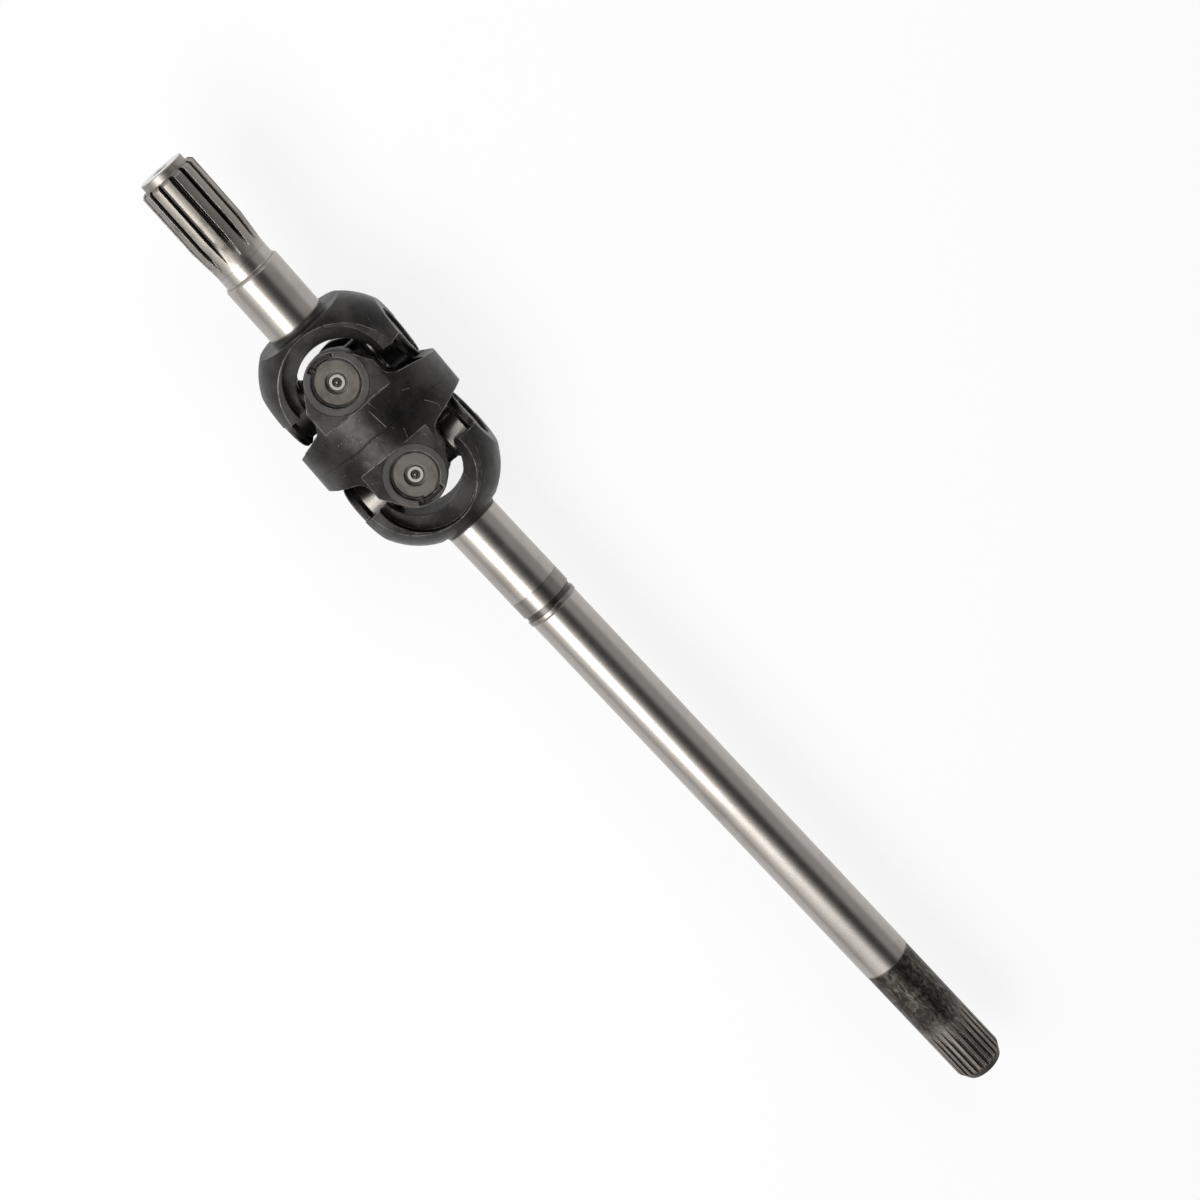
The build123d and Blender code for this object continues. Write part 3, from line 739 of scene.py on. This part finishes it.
@dataclass
class CrossKit:
    """Crosses, cups, snap rings, nipples, seals and needle rollers of both ends."""

    effects: SharedEffects

    def machined(self, name: str, axes: Matrix, tone: MachinedTone) -> bpy.types.Material:
        """A faced and turned steel with rings round an axis, and a black rim where it has a boss.

        Args:
            name: The material's name.
            axes: Frame whose X axis the rings run round.
            tone: Its colours and roughness.

        Returns:
            The material.
        """
        material, tree, shader = new_material(name)
        place = tree.local(axes)
        x, y, z = tree.split(place)
        radius = tree.reach(y, z)
        packed = tree.node("CombineXYZ")
        tree.put(packed.inputs[0], radius)
        tree.put(packed.inputs[1], tree.times(tree.math("ARCTAN2", y, z), 0.0008))
        tree.put(packed.inputs[2], tree.times(x, 0.5))
        rings = tree.noise(packed.outputs[0], 2600.0, 2.0, 0.6)
        stain = tree.noise(tree.node("TexCoord").outputs["Object"], 150.0, 5.0, 0.6)
        shade = tree.mix(tree.step(stain, 0.40, 0.72), tone.colour, tone.tint)
        ringed = tree.step(radius, 0.0018, 0.0055)
        shade = tree.mix(tree.times(tree.times(rings, 0.3), ringed), shade, tone.tint)
        shade = tree.mix(tree.times(tree.step(radius, 0.0054, 0.0051), tone.boss), shade, (0.27, 0.255, 0.235))
        rim = tree.times(tree.step(radius, 0.0139, 0.0142), float(tone.boss > 0.0))
        shade = tree.mix(tree.times(rim, 0.95), shade, (0.006, 0.006, 0.006))
        wear_and_highlight = tree.group(self.effects.edge_wear_and_highlight, Radius=0.0004, Breakup=0.3)
        # edges lightened partly as rubbed metal and partly as painted highlight
        shade = tree.mix(tree.times(wear_and_highlight.outputs["Mask"], 0.45), shade, (0.62, 0.60, 0.57))
        tree.put(shader.inputs["Base Color"], shade)
        tree.put(shader.inputs["Roughness"], tree.plus(tree.times(rings, 0.16), tone.roughness - 0.08))
        shader.inputs["Metallic"].default_value = 1.0
        height = tree.times(rings, ringed)
        tree.put(shader.inputs["Normal"], tree.bump(height, 0.3, 0.00002, wear_and_highlight.outputs["Normal"]))
        return material

    def plain_black(
        self, name: str, colour: tuple, roughness: float, metallic: float
    ) -> bpy.types.Material:
        """A dark finish with fine grain, for seals and phosphated rings."""
        material, tree, shader = new_material(name)
        place = tree.node("TexCoord").outputs["Object"]
        grain = tree.noise(place, 1800.0, 3.0, 0.6)
        patches = tree.noise(place, 160.0, 4.0, 0.6)
        wear_and_highlight = tree.group(self.effects.edge_wear_and_highlight, Radius=0.0003, Breakup=0.6)
        lighter = tuple(min(1.0, channel * 2.2 + 0.01) for channel in colour)
        shade = tree.mix(tree.step(patches, 0.4, 0.7), colour, lighter)
        # edges lightened partly as rubbed metal and partly as painted highlight
        shade = tree.mix(tree.times(wear_and_highlight.outputs["Mask"], 0.25 * metallic), shade, (0.5, 0.49, 0.47))
        tree.put(shader.inputs["Base Color"], shade)
        tree.put(shader.inputs["Roughness"], tree.plus(tree.times(patches, 0.2), roughness - 0.1))
        shader.inputs["Metallic"].default_value = metallic
        tree.put(shader.inputs["Normal"], tree.bump(grain, 0.3, 0.00004, wear_and_highlight.outputs["Normal"]))
        return material

    def nipple_steel(self, name: str, axes: Matrix) -> bpy.types.Material:
        """Smooth plated steel: a light flange round a darker dome, with a painted shade line at the dome's
        base between them.
        """
        material, tree, shader = new_material(name)
        _, y, z = tree.split(tree.local(axes))
        radius = tree.reach(y, z)
        shade = tree.mix(tree.step(radius, 0.0024, 0.0030), (0.13, 0.125, 0.118), (0.30, 0.285, 0.265))
        # painted shade: a near black ring in the crease at the dome's base
        foot_shade = tree.step(tree.gap(radius, 0.0026), 0.0006, 0.0002)
        shade = tree.mix(tree.times(foot_shade, 0.8), shade, (0.012, 0.011, 0.010))
        tree.put(shader.inputs["Base Color"], shade)
        shader.inputs["Roughness"].default_value = 0.30
        shader.inputs["Metallic"].default_value = 1.0
        return material

    def dress_all(self) -> None:
        """Gives every piece of both cross kits its finish."""
        rings = self.plain_black("snap ring steel", (0.012, 0.012, 0.012), 0.45, 0.8)
        rubber = self.plain_black("seal rubber", (0.010, 0.010, 0.010), 0.6, 0.0)
        for side in Side:
            upright = journal_axes(side, level=False)
            level = journal_axes(side, level=True)
            face = self.machined(f"{side.value} upright cup steel", upright, CAP_FACE)
            edge = self.machined(f"{side.value} level cup steel", level, FORK_CAP)
            # the short side's cross tone holds painted shade
            rod = self.machined(f"{side.value} cross steel", upright, CROSS[side])
            roller = self.machined(f"{side.value} roller steel", level, ROLLER)
            nipple = self.nipple_steel(f"{side.value} nipple steel", upright)
            for node, material in (
                ("end_upper_cup", face),
                ("end_lower_cup", face),
                ("fork_cups", edge),
                ("end_grease_nipple", nipple),
                ("end_snap_rings", rings),
                ("fork_snap_rings", rings),
                ("end_seals", rubber),
                ("fork_seals", rubber),
                ("end_needles", roller),
                ("fork_needles", roller),
                ("cross", rod),
            ):
                dress(f"{side.value}_{node}", material)


# ---------------------------------------------------------------- studio
@dataclass(frozen=True)
class Studio:
    """Pale floor, soft lamps and the camera that looks down on the shaft."""

    camera_at: tuple = (-0.0811, 0.1720, 1.2499)
    looks_at: tuple = (0.17328, 0.03152, 0.0)
    picture_up: tuple = (-0.7498, 0.6231, -0.2226)
    lens: float = 61.56
    sensor: float = LENS_FRAME
    warmth: tuple = (1.0, 0.985, 0.965)
    floor_size: float = 14.0
    gloss_bands: tuple = (
        (-180, 0.7),
        (-80, 0.62),
        (-60, 1.15),
        (-16, 1.3),
        (2, 0.32),
        (16, 0.05),
        (36, 0.06),
        (52, 0.5),
        (180, 0.7),
    )  # degrees round the shaft from straight up, and how bright the room is there

    def camera(self) -> None:
        """Adds the camera, turned about its own line of sight."""
        data = bpy.data.cameras.new("studio camera")
        data.lens = self.lens
        data.sensor_width = self.sensor
        data.clip_start = 0.05
        made = bpy.data.objects.new("studio camera", data)
        back = (Vector(self.camera_at) - Vector(self.looks_at)).normalized()
        up = Vector(self.picture_up)
        up = (up - up.dot(back) * back).normalized()
        turn = Matrix((up.cross(back), up, back)).transposed().to_4x4()
        made.matrix_world = Matrix.Translation(self.camera_at) @ turn
        bpy.context.scene.collection.objects.link(made)
        bpy.context.scene.camera = made

    def floor(self) -> None:
        """Adds the floor under the lowest point of the shaft."""
        low = CAD_BOX[0][2]
        half = self.floor_size / 2
        corners = [(-half, -half, low), (half, -half, low), (half, half, low), (-half, half, low)]
        mesh = bpy.data.meshes.new("studio floor")
        mesh.from_pydata(corners, [], [(0, 1, 2, 3)])
        made = bpy.data.objects.new("studio_floor", mesh)
        bpy.context.scene.collection.objects.link(made)
        material, tree, shader = new_material("pale floor")
        shader.inputs["Base Color"].default_value = (0.86, 0.86, 0.86, 1.0)
        shader.inputs["Roughness"].default_value = 0.9
        shader.inputs["Specular IOR Level"].default_value = 0.1
        glow = tree.node("Emission")
        glow.inputs["Color"].default_value = (1.0, 1.0, 1.0, 1.0)
        rays = tree.node("LightPath")
        seen = tree.math("MAXIMUM", rays.outputs["Is Camera Ray"], rays.outputs["Is Glossy Ray"])
        blend = tree.node("MixShader")
        tree.put(blend.inputs[0], tree.times(seen, 0.82))
        tree.put(blend.inputs[1], shader.outputs[0])
        tree.put(blend.inputs[2], glow.outputs[0])
        tree.put(material.node_tree.nodes["Material Output"].inputs["Surface"], blend.outputs[0])
        mesh.materials.append(material)

    def lamp(self, name: str, at: tuple, size: tuple, power: float) -> None:
        """Adds a soft rectangular lamp that points at the joint.

        Args:
            name: The lamp's name.
            at: Its place.
            size: Its width and height.
            power: Its power in watts.
        """
        data = bpy.data.lights.new(name, "AREA")
        data.shape = "RECTANGLE"
        data.size, data.size_y = size
        data.energy = power
        made = bpy.data.objects.new(name, data)
        aim = (Vector((0.15, 0, 0)) - Vector(at)).to_track_quat("-Z", "Y").to_matrix().to_4x4()
        made.matrix_world = Matrix.Translation(at) @ aim
        bpy.context.scene.collection.objects.link(made)

    def world(self) -> None:
        """A white room for the eye, and for gloss a room with one dark gap between its lamps."""
        room = bpy.data.worlds.new("studio room")
        bpy.context.scene.world = room
        room.use_nodes = True
        tree = Tree(room.node_tree)
        back = room.node_tree.nodes["Background"]
        direction = tree.node("TexCoord").outputs["Generated"]
        _, y, z = tree.split(direction)
        angle = tree.math("ARCTAN2", y, z)
        bands = tree.node("ValToRGB")
        ramp = bands.color_ramp
        ramp.interpolation = "EASE"
        for index, (degrees, level) in enumerate(self.gloss_bands):
            place = (degrees + 180) / 360
            stop = ramp.elements[index] if index < 2 else ramp.elements.new(place)
            stop.position = place
            stop.color = (*(level * share for share in self.warmth), 1.0)
        tree.put(bands.inputs[0], tree.math("DIVIDE", tree.plus(angle, math.pi), 2 * math.pi))
        rays = tree.node("LightPath")
        shown = tree.mix(rays.outputs["Is Glossy Ray"], (0.50, 0.50, 0.50), bands.outputs[0])
        shown = tree.mix(rays.outputs["Is Camera Ray"], shown, (1.0, 1.0, 1.0))
        tree.put(back.inputs["Color"], shown)

    def build(self) -> None:
        """Sets up the whole studio."""
        bpy.context.scene.view_settings.view_transform = "Standard"
        self.camera()
        self.floor()
        self.world()
        self.lamp("key lamp", (0.1, -0.9, 1.5), (1.6, 0.9), 22.0)
        self.lamp("fill lamp", (-0.9, 0.9, 1.2), (0.9, 0.9), 6.0)


def main() -> None:
    """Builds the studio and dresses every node."""
    logging.basicConfig(level=logging.INFO)
    effects = SharedEffects()
    Studio().build()
    CentreYoke(effects).dress_yoke()
    shafts = Shafts(effects)
    shafts.dress_short()
    shafts.dress_long()
    CrossKit(effects).dress_all()


if __name__ == "__main__":
    main()
